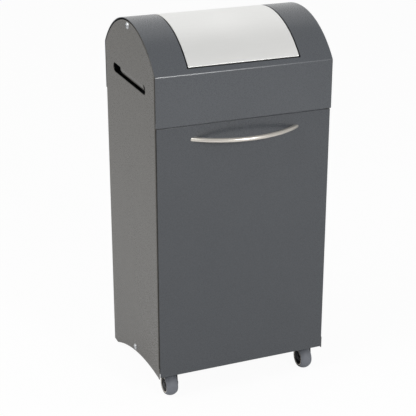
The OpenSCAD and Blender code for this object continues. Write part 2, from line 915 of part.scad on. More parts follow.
module castor_axle_left() {
  color(black_plastic) at_left_castor() castor_axle();
}

module castor_axle_right() {
  color(black_plastic) castor_axle();
}

// One moulded hub with dished sides. Its boss ends short of the axle's head
module wheel_hub() {
  web = hub_half - hub_dish;
  boss = hub_half - rivet_head - head_gap;
  place() translate([wheel_x, wheel_y, wheel_z]) rotate([0, 90, 0])
    rotate_extrude($fn = round_fn) polygon([
      [axle_d / 2 + run_fit, -boss],
      [hub_boss_r, -boss],
      [hub_boss_r, -web],
      [hub_r - 2 * hub_ring, -web],
      [hub_r - hub_ring, -hub_half],
      [hub_r, -hub_half],
      [hub_r, hub_half],
      [hub_r - hub_ring, hub_half],
      [hub_r - 2 * hub_ring, web],
      [hub_boss_r, web],
      [hub_boss_r, hub_half],
      [axle_d / 2 + run_fit, hub_half]
    ]);
}

module wheel_hub_left() {
  color(hub_grey) at_left_castor() wheel_hub();
}

module wheel_hub_right() {
  color(hub_grey) wheel_hub();
}

// One crowned tyre
module wheel_tyre() {
  place() translate([wheel_x, wheel_y, wheel_z]) rotate([0, 90, 0])
    rotate_extrude($fn = round_fn) intersection() {
      translate([hub_r, -tyre_w / 2]) square([tyre_t, tyre_w]);
      translate([wheel_d / 2 - crown_r, 0]) circle(r = crown_r, $fn = arc_fn);
    }
}

module wheel_tyre_left() {
  color(tyre_grey) at_left_castor() wheel_tyre();
}

module wheel_tyre_right() {
  color(tyre_grey) wheel_tyre();
}

side_plate_left();
side_plate_right();
hood_shell();
back_panel();
floor_pan();
front_rail();
magnet_catches();
top_tie_rod();
bottom_tie_rod();
tie_rod_screws();
rod_collars();
flap_skin();
flap_rib_left();
flap_rib_right();
flap_bushes();
door_panel();
door_frame();
door_lower_rail();
door_handle();
handle_screws();
hinge_bracket_left();
hinge_bracket_right();
hinge_pins();
liner_guides();
liner();
liner_rim();
bail_ears();
liner_bail();
castor_bracket_left();
castor_bracket_right();
castor_screws();
castor_axle_left();
castor_axle_right();
wheel_hub_left();
wheel_hub_right();
wheel_tyre_left();
wheel_tyre_right();
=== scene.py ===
# A floor-standing recycling bin of folded, powder-coated steel, put together in the order of
# its assembly: side plates, hood, back, floor, tie rods, flap, door, liner, castors, studio.
import bpy
import math
from mathutils import Matrix, Vector


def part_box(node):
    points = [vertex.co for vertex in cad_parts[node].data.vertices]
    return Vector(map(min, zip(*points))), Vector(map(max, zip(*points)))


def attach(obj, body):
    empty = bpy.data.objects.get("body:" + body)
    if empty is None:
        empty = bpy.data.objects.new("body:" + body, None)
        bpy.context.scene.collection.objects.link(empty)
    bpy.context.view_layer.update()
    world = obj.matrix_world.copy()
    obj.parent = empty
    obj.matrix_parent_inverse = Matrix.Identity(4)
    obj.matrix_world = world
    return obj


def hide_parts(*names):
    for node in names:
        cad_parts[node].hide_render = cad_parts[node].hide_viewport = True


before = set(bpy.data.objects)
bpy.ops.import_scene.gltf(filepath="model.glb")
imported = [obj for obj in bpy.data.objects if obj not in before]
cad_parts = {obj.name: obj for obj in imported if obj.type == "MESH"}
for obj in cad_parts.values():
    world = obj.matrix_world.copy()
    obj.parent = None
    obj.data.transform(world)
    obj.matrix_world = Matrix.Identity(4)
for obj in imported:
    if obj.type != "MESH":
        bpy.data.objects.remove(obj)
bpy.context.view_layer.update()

# Side plates: each is one sheet of 1.5 mm steel with a round top and an arched foot. Every edge
# is folded in on a press brake, which leaves a dark groove behind the hood and the door. The
# sheet above the hand slot is cut free at its ends and rolled inwards as a tongue.
mm = 0.001
tolerance = 0.02 * mm
merge_distance = 0.001 * mm
plate_low, plate_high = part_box("side_plate_left")
hood_low, hood_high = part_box("hood_shell")
pan_low, pan_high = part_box("floor_pan")
middle_y = (plate_low.y + plate_high.y) / 2
hood_radius = 200 * mm
arc_z = hood_high.z - hood_radius
crease_z = arc_z + math.sqrt(hood_radius ** 2 - (hood_high.y - hood_low.y) ** 2 / 4)
sheet = 1.5 * mm
cutter_spare = 3 * mm
edge_break = 0.35 * mm
bend = 1.7 * mm
groove = 3 * mm
arch_top = 56 * mm
arch_back = 40 * mm
arch_cuts = 63
round_top_cuts = 95
foot_length = 26 * mm
toe_drop = 1 * mm
slot_length = 204 * mm
slot_height = 20 * mm
slot_drop = 41 * mm
tongue_length = 144 * mm
tongue_start = 12 * mm
tongue_radius = 25 * mm
tongue_turn = math.radians(44)
tongue_root = edge_break + 0.2 * mm
tongue_proud = 0.02 * mm


def start(adder, name, scale=(1, 1, 1), **settings):
    """Adds a primitive with nothing else selected, and moves its place and size into its mesh."""
    bpy.ops.object.select_all(action="DESELECT")
    adder(**settings)
    piece = bpy.context.active_object
    piece.name = name
    piece.scale = scale
    bpy.ops.object.transform_apply(location=True, rotation=True, scale=True)
    return piece


def start_block(name, low, high):
    """Adds a cube stretched between two corners."""
    low, high = Vector(low), Vector(high)
    return start(bpy.ops.mesh.primitive_cube_add, name, size=1,
                 location=(low + high) / 2, scale=high - low)


def start_bar(name, x0, x1, radius, y, z, vertices=48):
    """Adds a round bar along X."""
    return start(bpy.ops.mesh.primitive_cylinder_add, name, vertices=vertices, radius=radius,
                 depth=x1 - x0, location=((x0 + x1) / 2, y, z), rotation=(0, math.pi / 2, 0))


def pick(piece, kind, test):
    """Opens the piece in edit mode with only those elements selected whose vertices all pass."""
    bpy.context.view_layer.objects.active = piece
    bpy.ops.object.mode_set(mode="OBJECT")
    mesh = piece.data
    passed = [test(v.co) for v in mesh.vertices]
    for vertex in mesh.vertices:
        vertex.select = kind == "VERT" and passed[vertex.index]
    for edge in mesh.edges:
        edge.select = kind == "EDGE" and all(passed[i] for i in edge.vertices)
    for face in mesh.polygons:
        face.select = kind == "FACE" and all(passed[i] for i in face.vertices)
    bpy.context.tool_settings.mesh_select_mode = (kind == "VERT", kind == "EDGE", kind == "FACE")
    bpy.ops.object.mode_set(mode="EDIT")


def near(value, target):
    """Tells whether two lengths are the same within the tolerance."""
    return abs(value - target) < tolerance


def move(x=0.0, y=0.0, z=0.0):
    """What an extrusion needs to move what it makes."""
    return {"value": (x, y, z)}


def close_edit():
    """Goes back to object mode, which writes the edits into the mesh."""
    bpy.ops.object.mode_set(mode="OBJECT")


def apply_modifier(piece, kind, **settings):
    """Adds a modifier with its settings and applies it to the mesh."""
    modifier = piece.modifiers.new(kind.title(), kind)
    for name, value in settings.items():
        setattr(modifier, name, value)
    bpy.context.view_layer.objects.active = piece
    bpy.ops.object.modifier_apply(modifier=modifier.name)


def cut_away(piece, cutter):
    """Takes the cutter's shape out of the piece."""
    apply_modifier(piece, "BOOLEAN", object=cutter, operation="DIFFERENCE", solver="EXACT")
    bpy.data.objects.remove(cutter)


def break_edges(piece, width=edge_break, segments=2, angle=40):
    """Rounds off every edge that is sharper than the angle."""
    apply_modifier(piece, "BEVEL", width=width, segments=segments, limit_method="ANGLE",
                   angle_limit=math.radians(angle))


def join(piece, *others):
    """Makes several meshes one piece."""
    bpy.ops.object.select_all(action="DESELECT")
    for part in (piece, *others):
        part.select_set(True)
    bpy.context.view_layer.objects.active = piece
    bpy.ops.object.join()
    return piece


def copied(piece, name, change):
    """Copies a piece with its own mesh, which a matrix moves or mirrors."""
    twin = piece.copy()
    twin.data = piece.data.copy()
    twin.name = name
    bpy.context.scene.collection.objects.link(twin)
    twin.data.transform(change)
    if change.is_negative:
        twin.data.flip_normals()
    return twin


def complete(piece, body, slot, material, *nodes, angle=35):
    """Shades a finished piece, gives it its material and hangs it on its body."""
    bpy.ops.object.select_all(action="DESELECT")
    piece.select_set(True)
    bpy.context.view_layer.objects.active = piece
    bpy.ops.object.shade_smooth_by_angle(angle=math.radians(angle))
    apply_modifier(piece, "WEIGHTED_NORMAL", keep_sharp=True, weight=100)
    piece.data.materials.clear()
    piece.data.materials.append(material)
    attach(piece, body)
    if nodes:
        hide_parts(*nodes)
    return piece


def linear(code):
    """Turns an sRGB hex colour into linear RGBA."""
    channels = [int(code[i:i + 2], 16) / 255 for i in (1, 3, 5)]
    return (*[c / 12.92 if c <= 0.04045 else ((c + 0.055) / 1.055) ** 2.4 for c in channels], 1.0)


def add_node(tree, kind, inputs, **settings):
    """Adds a shader node. Each input is a plain value or the output socket that feeds it."""
    made = tree.nodes.new(kind)
    for name, value in settings.items():
        setattr(made, name, value)
    for name, value in inputs.items():
        if isinstance(value, bpy.types.NodeSocket):
            tree.links.new(value, made.inputs[name])
        else:
            made.inputs[name].default_value = value
    return made


def new_material(name, **sockets):
    """A material with one Principled shader, whose sockets are given with _ for each space."""
    material = bpy.data.materials.new(name)
    material.use_nodes = True
    tree = material.node_tree
    shader = tree.nodes["Principled BSDF"]
    for socket, value in sockets.items():
        shader.inputs[socket.replace("_", " ")].default_value = value
    place = add_node(tree, "ShaderNodeTexCoord", {}).outputs["Object"]
    return material, tree, shader, place


def powder_coat(name, low_code, high_code):
    """Smooth polyester powder coat, baked on steel: a satin skin whose slight pebble softens
    reflections, with a drift of a shade or two over a hand's width. The real pebble is finer
    than half a millimetre, and is drawn coarser so that it shows."""
    pebble_size = 1.5 * mm
    pebble_depth = 0.05 * mm
    drift_size = 90 * mm
    material, tree, shader, place = new_material(name, IOR=1.5)
    drift = add_node(tree, "ShaderNodeTexNoise",
                     {"Vector": place, "Scale": 1 / drift_size, "Detail": 2.0})
    tint = add_node(tree, "ShaderNodeMix",
                    {"Factor": drift.outputs["Fac"], "A": linear(low_code), "B": linear(high_code)},
                    data_type="RGBA")
    pebble = add_node(tree, "ShaderNodeTexNoise",
                      {"Vector": place, "Scale": 1 / pebble_size, "Detail": 3.0})
    gloss = add_node(tree, "ShaderNodeMapRange",
                     {"Value": pebble.outputs["Fac"], "To Min": 0.24, "To Max": 0.31})
    bump = add_node(tree, "ShaderNodeBump",
                    {"Height": pebble.outputs["Fac"], "Strength": 0.12, "Distance": pebble_depth})
    tree.links.new(tint.outputs["Result"], shader.inputs["Base Color"])
    tree.links.new(gloss.outputs["Result"], shader.inputs["Roughness"])
    tree.links.new(bump.outputs["Normal"], shader.inputs["Normal"])
    return material


# The sides' coat is the charcoal drawn warmer and a touch lighter: painted light on the sides.
side_coat = powder_coat("powder_coat_grey_painted_light", "#52504c", "#565450")

# The sheet with its round top and its arch is drawn flat in the plate's outer face, then
# extruded inwards, opened at its back and given its thickness.
plate_half = (plate_high.y - plate_low.y) / 2 - groove
plate_radius = plate_high.z - arc_z - groove
shoulder_angle = math.asin(plate_half / plate_radius)
shoulder_z = arc_z + plate_radius * math.cos(shoulder_angle)
foot_y = plate_high.y - foot_length
arch_y = hood_low.y + arch_back
arch_run = foot_y - arch_y
arch_radius = (arch_run ** 2 + arch_top ** 2) / (2 * arch_top)
plate = start(bpy.ops.mesh.primitive_plane_add, "side_plate_left_folded", size=1,
              rotation=(0, math.pi / 2, 0), location=(plate_low.x, middle_y, shoulder_z / 2),
              scale=(shoulder_z, 2 * plate_half, 1))
pick(plate, "EDGE", lambda v: near(v.z, shoulder_z))
bpy.ops.mesh.subdivide(number_cuts=round_top_cuts)
pick(plate, "FACE", lambda v: True)
bpy.ops.mesh.bisect(plane_co=(0, foot_y, 0), plane_no=(0, 1, 0))
pick(plate, "EDGE", lambda v: near(v.z, 0) and v.y < foot_y + edge_break)
bpy.ops.mesh.subdivide(number_cuts=arch_cuts)
close_edit()
for v in plate.data.vertices:
    if near(v.co.z, shoulder_z):
        turn = (v.co.y - middle_y) / plate_half * shoulder_angle
        v.co.y = middle_y + plate_radius * math.sin(turn)
        v.co.z = arc_z + plate_radius * math.cos(turn)
    elif near(v.co.z, 0) and v.co.y < foot_y - edge_break:
        v.co.z = arch_top - arch_radius + math.sqrt(arch_radius ** 2 - (v.co.y - arch_y) ** 2)
pick(plate, "FACE", lambda v: True)
bpy.ops.mesh.extrude_region_move(TRANSFORM_OT_translate=move(x=plate_high.x - plate_low.x))
bpy.ops.mesh.select_all(action="SELECT")
bpy.ops.mesh.normals_make_consistent(inside=False)
close_edit()
pick(plate, "FACE", lambda v: True)
bpy.ops.mesh.dissolve_limited(angle_limit=math.radians(0.1))
pick(plate, "EDGE", lambda v: near(v.x, plate_low.x))
bpy.ops.mesh.bevel(offset=bend, segments=5, affect="EDGES")
pick(plate, "FACE", lambda v: near(v.x, plate_high.x))
bpy.ops.mesh.delete(type="FACE")
close_edit()
apply_modifier(plate, "SOLIDIFY", thickness=sheet, offset=-1, use_even_offset=True)

# The flange stops above the castor, and the slot has round ends.
cut_away(plate, start_block("flange_cutter", (plate_low.x + sheet, plate_low.y, -cutter_spare),
                            (plate_high.x + cutter_spare, pan_low.y, pan_high.z)))
slot_z = crease_z - slot_drop
slot_cutter = start_bar("slot_cutter", plate_low.x - cutter_spare, plate_low.x + cutter_spare,
                        slot_height / 2, middle_y, slot_z)
for side in (-1, 1):
    pick(slot_cutter, "VERT", lambda v: side * (v.y - middle_y) > tolerance)
    bpy.ops.transform.translate(value=(0, side * (slot_length - slot_height) / 2, 0))
close_edit()
cut_away(plate, slot_cutter)
break_edges(plate)

# The tongue hangs from a short root over the slot's upper edge, and is spun inwards and down.
tongue_x = plate_low.x - tongue_proud
tongue_y = middle_y - slot_length / 2 + tongue_start + tongue_length / 2
tongue_z = slot_z + slot_height / 2
tongue = start(bpy.ops.mesh.primitive_plane_add, "slot_tongue", size=1,
               location=(tongue_x, tongue_y, tongue_z + tongue_root / 2),
               rotation=(0, -math.pi / 2, 0), scale=(tongue_root, tongue_length, 1))
pick(tongue, "EDGE", lambda v: near(v.z, tongue_z))
bpy.ops.mesh.spin(steps=12, angle=tongue_turn, axis=(0, 1, 0),
                  center=(tongue_x + tongue_radius, tongue_y, tongue_z))
bpy.ops.mesh.select_all(action="SELECT")
bpy.ops.mesh.remove_doubles(threshold=merge_distance)
bpy.ops.mesh.normals_make_consistent(inside=False)
close_edit()
apply_modifier(tongue, "SOLIDIFY", thickness=sheet, offset=-1)
break_edges(tongue)

# Below the end of the flange the sheet stays flat, and its front lower corner fills the groove.
toe = start_block("front_toe", (plate_low.x, plate_low.y, arch_top - toe_drop),
                  (plate_low.x + sheet, plate_low.y + groove + bend, pan_high.z))
break_edges(toe)
join(plate, tongue, toe)
mirror = Matrix.Scale(-1, 4, (1, 0, 0))
plate_right = copied(plate, "side_plate_right_folded", mirror)
complete(plate, "housing", "side_paint", side_coat, "side_plate_left")
complete(plate_right, "housing", "side_paint", side_coat, "side_plate_right")

# Hood: one sheet rolled to a 200 mm radius over the top, creased at the front and the back where
# it turns down into a flat apron. The aprons' lower edges are hemmed, and the flap's opening is
# cut out of the round top.
body_coat = powder_coat("powder_coat_charcoal", "#4b4e52", "#4f5256")
apron_z = hood_low.z
crease_radius = 2.2 * mm
crease_angle = math.acos((crease_z - arc_z) / hood_radius)
hem_height = 12 * mm
seam_distance = 0.01 * mm
hem_bend = 0.9 * sheet
flap_low, flap_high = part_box("flap_skin")
flap_gap = 3 * mm
flap_angle = math.radians(48.8)
opening_angle = flap_angle + flap_gap / hood_radius
opening_x = flap_high.x + flap_gap
rolled_edge = 0.2 * mm


def roll_over(angle):
    """Spins the selected edge over the round top, from the front to the back."""
    bpy.ops.mesh.spin(steps=96, angle=angle, center=(0, middle_y, arc_z), axis=(1, 0, 0))


hood = start(bpy.ops.mesh.primitive_plane_add, "hood_rolled", size=1,
             location=(0, hood_low.y, (apron_z + crease_z) / 2), rotation=(math.pi / 2, 0, 0),
             scale=(hood_high.x - hood_low.x, crease_z - apron_z, 1))
pick(hood, "EDGE", lambda v: near(v.z, crease_z))
roll_over(2 * crease_angle)
bpy.ops.mesh.extrude_region_move(TRANSFORM_OT_translate=move(z=apron_z - crease_z))
pick(hood, "VERT", lambda v: True)
bpy.ops.mesh.remove_doubles(threshold=seam_distance)
for rim_y, inward in ((hood_low.y, 1), (hood_high.y, -1)):
    pick(hood, "EDGE", lambda v: near(v.z, apron_z) and near(v.y, rim_y))
    bpy.ops.mesh.extrude_region_move(TRANSFORM_OT_translate=move(y=inward * 2 * sheet))
    bpy.ops.mesh.extrude_region_move(TRANSFORM_OT_translate=move(z=hem_height))
pick(hood, "EDGE", lambda v: near(v.z, apron_z))
bpy.ops.mesh.bevel(offset=hem_bend, segments=4, affect="EDGES")
pick(hood, "EDGE", lambda v: near(v.z, crease_z))
bpy.ops.mesh.bevel(offset=crease_radius, segments=5, affect="EDGES")
for plane_at, plane_no in (
        ((opening_x, 0, 0), (1, 0, 0)),
        ((-opening_x, 0, 0), (1, 0, 0)),
        ((0, middle_y, arc_z), (0, math.cos(opening_angle), math.sin(opening_angle))),
        ((0, middle_y, arc_z), (0, -math.cos(opening_angle), math.sin(opening_angle)))):
    bpy.ops.mesh.select_all(action="SELECT")
    bpy.ops.mesh.bisect(plane_co=plane_at, plane_no=plane_no)


def in_opening(v):
    """Tells whether a point of the round top lies in the flap's opening or on its edge."""
    turned = abs(math.atan2(v.y - middle_y, v.z - arc_z))
    beside = abs(v.x) < opening_x + tolerance
    return beside and turned < opening_angle + tolerance / hood_radius and v.z > crease_z


pick(hood, "FACE", in_opening)
bpy.ops.mesh.delete(type="FACE")
bpy.ops.mesh.select_all(action="SELECT")
bpy.ops.mesh.normals_make_consistent(inside=False)
close_edit()
apply_modifier(hood, "SOLIDIFY", thickness=sheet, offset=-1, use_even_offset=True)
break_edges(hood, rolled_edge, angle=50)
complete(hood, "housing", "body_paint", body_coat, "hood_shell")

# Back panel, floor pan and front rail: folded sheet between the side plates, welded to their
# flanges and coated with the body. The edges are broken before coating.


def broken_copy(node, width=edge_break):
    """Copies a CAD node's mesh with its triangles merged and its sharp edges rounded off."""
    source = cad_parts[node]
    copy = bpy.data.objects.new(node + "_dressed", source.data.copy())
    bpy.context.scene.collection.objects.link(copy)
    pick(copy, "VERT", lambda v: True)
    bpy.ops.mesh.remove_doubles(threshold=merge_distance)
    bpy.ops.mesh.dissolve_limited(angle_limit=math.radians(1))
    close_edit()
    if width:
        break_edges(copy, width)
    return copy


for node_name in ("back_panel", "floor_pan", "front_rail"):
    complete(broken_copy(node_name), "housing", "body_paint", body_coat, node_name)

# Tie rods: two bright steel rods join the side plates. The upper one is also the flap's pivot.
# A domed socket screw through each side plate holds each rod, and collars keep the flap central.


def bright_zinc_plate():
    """Zinc-plated, blue-passivated steel: bright with a cold cast, faintly mottled every few
    millimetres where the passivate dried."""
    mottle_size = 6 * mm
    material, tree, shader, place = new_material("bright_zinc_plate", Metallic=1.0)
    mottle = add_node(tree, "ShaderNodeTexNoise",
                      {"Vector": place, "Scale": 1 / mottle_size, "Detail": 4.0})
    tint = add_node(tree, "ShaderNodeMix",
                    {"Factor": mottle.outputs["Fac"], "A": linear("#b9bcc0"), "B": linear("#cbcdce")},
                    data_type="RGBA")
    gloss = add_node(tree, "ShaderNodeMapRange",
                     {"Value": mottle.outputs["Fac"], "To Min": 0.22, "To Max": 0.36})
    tree.links.new(tint.outputs["Result"], shader.inputs["Base Color"])
    tree.links.new(gloss.outputs["Result"], shader.inputs["Roughness"])
    return material


zinc = bright_zinc_plate()
screws_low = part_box("tie_rod_screws")[0]
dome_diameter = 14.5 * mm
dome_height = plate_low.x - screws_low.x
dome_rings = 7
dome_tip_radius = 0.4 * mm
dome_edge = 0.15 * mm
socket_width = 5 * mm
socket_depth = 2.1 * mm
socket_spare = 1 * mm


def dome_screw(name, y, z):
    """A domed socket screw on the left side plate, drawn out ring by ring from a disc."""
    ball = (dome_diameter ** 2 / 4 + dome_height ** 2) / (2 * dome_height)
    screw = start(bpy.ops.mesh.primitive_circle_add, name, vertices=48, radius=dome_diameter / 2,
                  fill_type="NGON", location=(plate_low.x, y, z), rotation=(0, math.pi / 2, 0))
    pick(screw, "FACE", lambda v: True)
    before_height, before_radius = 0.0, dome_diameter / 2
    for ring in range(1, dome_rings + 1):
        height = dome_height * ring / dome_rings
        squared = ball ** 2 - (ball - dome_height + height) ** 2
        radius = math.sqrt(max(squared, dome_tip_radius ** 2))
        bpy.ops.mesh.extrude_region_move(TRANSFORM_OT_translate=move(x=before_height - height))
        ratio = radius / before_radius
        bpy.ops.transform.resize(value=(1, ratio, ratio), center_override=(plate_low.x - height, y, z))
        before_height, before_radius = height, radius
    bpy.ops.mesh.select_all(action="SELECT")
    bpy.ops.mesh.normals_make_consistent(inside=False)
    close_edit()
    socket_radius = socket_width / 2 / math.cos(math.pi / 6)
    cut_away(screw, start_bar("socket_cutter", screws_low.x - socket_spare,
                              screws_low.x + socket_depth, socket_radius, y, z, vertices=6))
    break_edges(screw, dome_edge)
    return screw


screws = []
for rod in ("top_tie_rod", "bottom_tie_rod"):
    rod_low, rod_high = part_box(rod)
    left_screw = dome_screw(rod.replace("tie_rod", "dome_screw"),
                            (rod_low.y + rod_high.y) / 2, (rod_low.z + rod_high.z) / 2)
    screws += [left_screw, copied(left_screw, left_screw.name + "_right", mirror)]
screws[0].name = "dome_screws"
complete(join(*screws), "housing", "zinc", zinc, "tie_rod_screws", angle=25)
for node_name in ("top_tie_rod", "bottom_tie_rod", "rod_collars"):
    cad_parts[node_name].data.materials.clear()
    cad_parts[node_name].data.materials.append(zinc)

# Flap: a sheet of satin-ground aluminium rolled to the hood's radius, with its front and rear
# edges turned in. Two curved ribs under it carry plastic bushes that swing on the upper rod.


def satin_aluminium():
    """Belt-ground, clear anodised aluminium: fine scratches run across the width, so highlights
    spread at right angles to them, and the metal stays nearly white. The real scratches are
    hair-fine, and are drawn coarser so that they show."""
    scratch_width = 0.5 * mm
    scratch_length = 60 * mm
    scratch_depth = 0.02 * mm
    material, tree, shader, place = new_material("satin_aluminium", Metallic=0.7, Anisotropic=0.3)
    grain = add_node(tree, "ShaderNodeMapping",
                     {"Vector": place,
                      "Scale": (1 / scratch_length, 1 / scratch_width, 1 / scratch_width)})
    scratch = add_node(tree, "ShaderNodeTexNoise",
                       {"Vector": grain.outputs["Vector"], "Scale": 1.0, "Detail": 2.0})
    tint = add_node(tree, "ShaderNodeMix",
                    {"Factor": scratch.outputs["Fac"], "A": linear("#e7e7e5"), "B": linear("#f2f2f0")},
                    data_type="RGBA")
    gloss = add_node(tree, "ShaderNodeMapRange",
                     {"Value": scratch.outputs["Fac"], "To Min": 0.42, "To Max": 0.52})
    bump = add_node(tree, "ShaderNodeBump",
                    {"Height": scratch.outputs["Fac"], "Strength": 0.1, "Distance": scratch_depth})
    tree.links.new(tint.outputs["Result"], shader.inputs["Base Color"])
    tree.links.new(gloss.outputs["Result"], shader.inputs["Roughness"])
    tree.links.new(bump.outputs["Normal"], shader.inputs["Normal"])
    return material


def rib_aluminium_painted_shade():
    """Aluminium sheet as it leaves the rolling mill, faintly clouded every few millimetres by the
    rollers. It is drawn dark grey as painted shade, so that the gap round the flap reads dark."""
    cloud_size = 4 * mm
    material, tree, shader, place = new_material("rib_aluminium_painted_shade", Metallic=1.0, Roughness=0.5)
    cloud = add_node(tree, "ShaderNodeTexNoise",
                     {"Vector": place, "Scale": 1 / cloud_size, "Detail": 3.0})
    tint = add_node(tree, "ShaderNodeMix",
                    {"Factor": cloud.outputs["Fac"], "A": linear("#6f7072"), "B": linear("#838486")},
                    data_type="RGBA")
    tree.links.new(tint.outputs["Result"], shader.inputs["Base Color"])
    return material


def moulded_plastic(name, code, grain_size, roughness):
    """Moulded plastic: even colour with a fine eroded grain from the tool. The real grain is a
    tenth of a millimetre or so, and is drawn coarser so that it shows."""
    grain_depth = 0.04 * mm
    unevenness = 0.06
    material, tree, shader, place = new_material(name, IOR=1.48)
    shader.inputs["Base Color"].default_value = linear(code)
    grain = add_node(tree, "ShaderNodeTexNoise",
                     {"Vector": place, "Scale": 1 / grain_size, "Detail": 3.0})
    gloss = add_node(tree, "ShaderNodeMapRange",
                     {"Value": grain.outputs["Fac"], "To Min": roughness - unevenness,
                      "To Max": roughness + unevenness})
    bump = add_node(tree, "ShaderNodeBump",
                    {"Height": grain.outputs["Fac"], "Strength": 0.2, "Distance": grain_depth})
    tree.links.new(gloss.outputs["Result"], shader.inputs["Roughness"])
    tree.links.new(bump.outputs["Normal"], shader.inputs["Normal"])
    return material


flap_metal = satin_aluminium()
# The ribs' dark grey is painted shade for the gap round the flap.
rib_metal_painted_shade = rib_aluminium_painted_shade()
bush_plastic = moulded_plastic("acetal_black", "#1b1b1d", grain_size=0.8 * mm, roughness=0.4)
bush_edge = 0.3 * mm
flap_sheet = 1.8 * mm
flap_lip = 3.5 * mm
flap_bend = 1.2 * mm
outward = Vector((0, -math.sin(flap_angle), math.cos(flap_angle)))
lip_foot = Vector((0, middle_y, arc_z)) + outward * (hood_radius - flap_lip)
lip_middle = lip_foot + outward * flap_lip / 2
flap = start(bpy.ops.mesh.primitive_plane_add, "flap_rolled", size=1, location=lip_middle,
             rotation=(math.pi / 2 + flap_angle, 0, 0), scale=(flap_high.x - flap_low.x, flap_lip, 1))
pick(flap, "EDGE", lambda v: (v - lip_middle).dot(outward) > 0)
roll_over(2 * flap_angle)
bpy.ops.mesh.extrude_region_move(
    TRANSFORM_OT_translate=move(y=-flap_lip * math.sin(flap_angle), z=-flap_lip * math.cos(flap_angle)))
pick(flap, "VERT", lambda v: True)
bpy.ops.mesh.remove_doubles(threshold=seam_distance)
bend_z = arc_z + hood_radius * math.cos(flap_angle)
bend_y = hood_radius * math.sin(flap_angle)
pick(flap, "EDGE", lambda v: near(v.z, bend_z) and near(abs(v.y - middle_y), bend_y))
bpy.ops.mesh.bevel(offset=flap_bend, segments=5, affect="EDGES")
bpy.ops.mesh.select_all(action="SELECT")
bpy.ops.mesh.normals_make_consistent(inside=False)
close_edit()
apply_modifier(flap, "SOLIDIFY", thickness=flap_sheet, offset=-1, use_even_offset=True)
break_edges(flap, rolled_edge, angle=50)
complete(flap, "flap", "flap_metal", flap_metal, "flap_skin")
for node_name in ("flap_rib_left", "flap_rib_right"):
    complete(broken_copy(node_name), "flap", "flap_metal", rib_metal_painted_shade, node_name)
complete(broken_copy("flap_bushes", bush_edge), "flap", "bearing_plastic", bush_plastic, "flap_bushes")

# Door: a flat coated sheet that lies over the side plates' front flanges, stiffened inside by a
# folded frame and a lower rail. Two countersunk screws hold the handle from inside.
# The door's coat is the hood's charcoal made a shade darker: painted shade on the door.
door_coat = powder_coat("powder_coat_charcoal_painted_shade", "#43464a", "#474a4e")
door_edge = 0.7 * mm
screw_edge = 0.2 * mm
door_low, door_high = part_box("door_panel")
door_panel = start_block("door_panel_sheet", door_low, door_high)
break_edges(door_panel, door_edge, segments=3)
complete(door_panel, "door", "body_paint", door_coat, "door_panel")
for node_name in ("door_frame", "door_lower_rail"):
    complete(broken_copy(node_name), "door", "body_paint", door_coat, node_name)
complete(broken_copy("handle_screws", screw_edge), "door", "zinc", zinc, "handle_screws")

# Handle: a 9 mm bar of satin-polished stainless steel, bent to a shallow bow. Its ends are cut
# flat where they meet the door's face, and tapped for the screws.


def satin_stainless():
    """Brushed stainless steel: a warm grey metal whose fine lines run along the bin's width,
    which gives a soft, drawn-out highlight. The lines are drawn coarser than they are."""
    line_width = 0.4 * mm
    line_length = 25 * mm
    material, tree, shader, place = new_material("satin_stainless", Metallic=0.85)
    grain = add_node(tree, "ShaderNodeMapping",
                     {"Vector": place, "Scale": (1 / line_length, 1 / line_width, 1 / line_width)})
    line = add_node(tree, "ShaderNodeTexNoise",
                    {"Vector": grain.outputs["Vector"], "Scale": 1.0, "Detail": 2.0})
    tint = add_node(tree, "ShaderNodeMix",
                    {"Factor": line.outputs["Fac"], "A": linear("#d2cdc5"), "B": linear("#dfdad1")},
                    data_type="RGBA")
    gloss = add_node(tree, "ShaderNodeMapRange",
                     {"Value": line.outputs["Fac"], "To Min": 0.24, "To Max": 0.36})
    tree.links.new(tint.outputs["Result"], shader.inputs["Base Color"])
    tree.links.new(gloss.outputs["Result"], shader.inputs["Roughness"])
    return material


handle_low, handle_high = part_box("door_handle")
handle_diameter = handle_high.z - handle_low.z
handle_bow = 36 * mm
handle_span = 220 * mm
handle_edge = 0.25 * mm
bow_radius = (handle_span ** 2 / 4 + handle_bow ** 2) / (2 * handle_bow)
bow_centre = Vector((0, door_low.y - handle_bow + bow_radius, (handle_low.z + handle_high.z) / 2))
handle = start(bpy.ops.mesh.primitive_circle_add, "handle_bow", vertices=32,
               radius=handle_diameter / 2, location=bow_centre + Vector((-bow_radius, 0, 0)),
               rotation=(math.pi / 2, 0, 0))
pick(handle, "VERT", lambda v: True)
bpy.ops.mesh.spin(steps=144, angle=-math.pi, center=bow_centre, axis=(0, 0, 1))
close_edit()
pick(handle, "VERT", lambda v: True)
bpy.ops.mesh.bisect(plane_co=(0, door_low.y, 0), plane_no=(0, 1, 0), clear_outer=True, use_fill=True)
bpy.ops.mesh.select_all(action="SELECT")
bpy.ops.mesh.remove_doubles(threshold=merge_distance)
bpy.ops.mesh.normals_make_consistent(inside=False)
close_edit()
break_edges(handle, handle_edge, angle=45)
complete(handle, "door", "handle_steel", satin_stainless(), "door_handle")

# Door hinge and catch: two zinc-plated brackets on the floor pan carry pins through the door's
# frame, and two block magnets in the front rail hold the door shut.


def sintered_ferrite():
    """Sintered ferrite: charcoal black ceramic with a dull, slightly gritty face. The real grit is
    finer than a tenth of a millimetre, and is drawn coarser so that it shows."""
    grit_size = 0.9 * mm
    grit_depth = 0.08 * mm
    material, tree, shader, place = new_material("sintered_ferrite", Roughness=0.6)
    grit = add_node(tree, "ShaderNodeTexNoise",
                    {"Vector": place, "Scale": 1 / grit_size, "Detail": 5.0})
    tint = add_node(tree, "ShaderNodeMix",
                    {"Factor": grit.outputs["Fac"], "A": linear("#1d1d1f"), "B": linear("#2b2b2d")},
                    data_type="RGBA")
    bump = add_node(tree, "ShaderNodeBump",
                    {"Height": grit.outputs["Fac"], "Strength": 0.4, "Distance": grit_depth})
    tree.links.new(tint.outputs["Result"], shader.inputs["Base Color"])
    tree.links.new(bump.outputs["Normal"], shader.inputs["Normal"])
    return material


